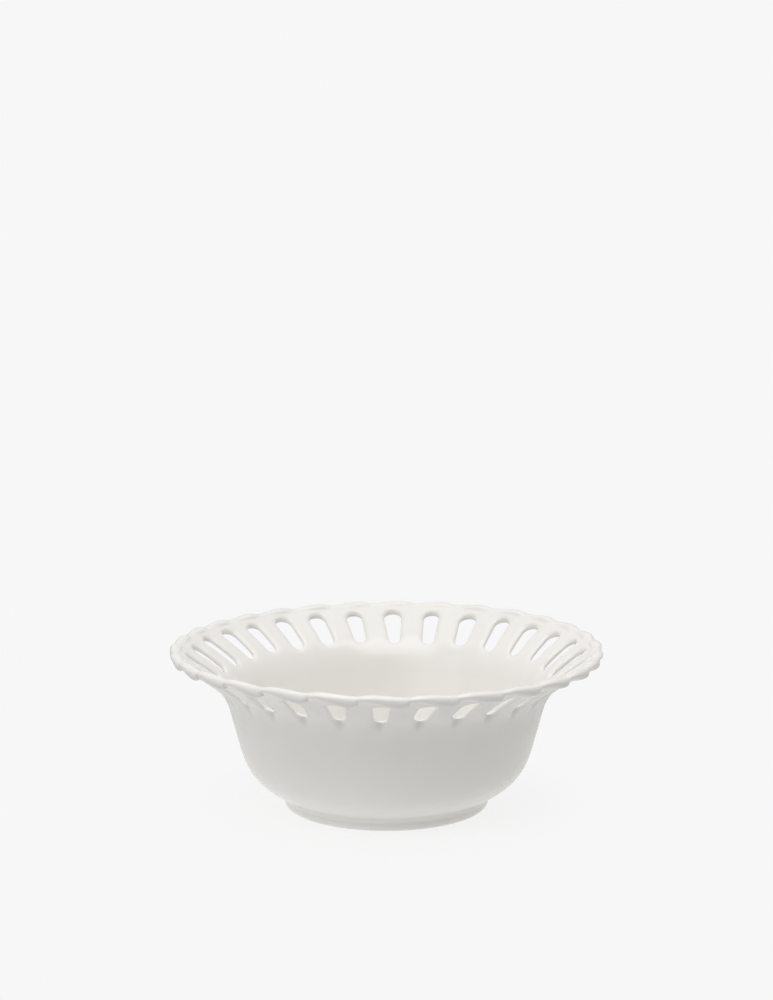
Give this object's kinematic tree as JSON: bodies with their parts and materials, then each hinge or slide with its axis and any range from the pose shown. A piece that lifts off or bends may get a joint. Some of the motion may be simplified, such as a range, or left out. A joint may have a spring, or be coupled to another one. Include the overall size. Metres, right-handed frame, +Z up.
{
  "type": "porcelain bowl",
  "caption": "Round footed porcelain bowl with a flared openwork collar and a rolled edge of overlapping scallops.",
  "frame": {"origin": "centre of the foot ring's standing face, on the surface that the bowl stands on", "axes": "+Z up along the bowl's axis, from the foot to the open mouth; +X and +Y level, across the mouth"},
  "size_m": [0.1998, 0.2, 0.076],
  "materials": {
    "white_glaze": "clear gloss glaze over warm white porcelain",
    "foot_glaze": "gloss glaze on the sides of the foot, wiped off its standing face down to matte bare porcelain"
  },
  "bodies": {
    "root": {"foot_ring": "foot_glaze", "bowl_body": "white_glaze", "pierced_collar": "white_glaze", "scalloped_edge": "white_glaze"}
  },
  "joints": []
}
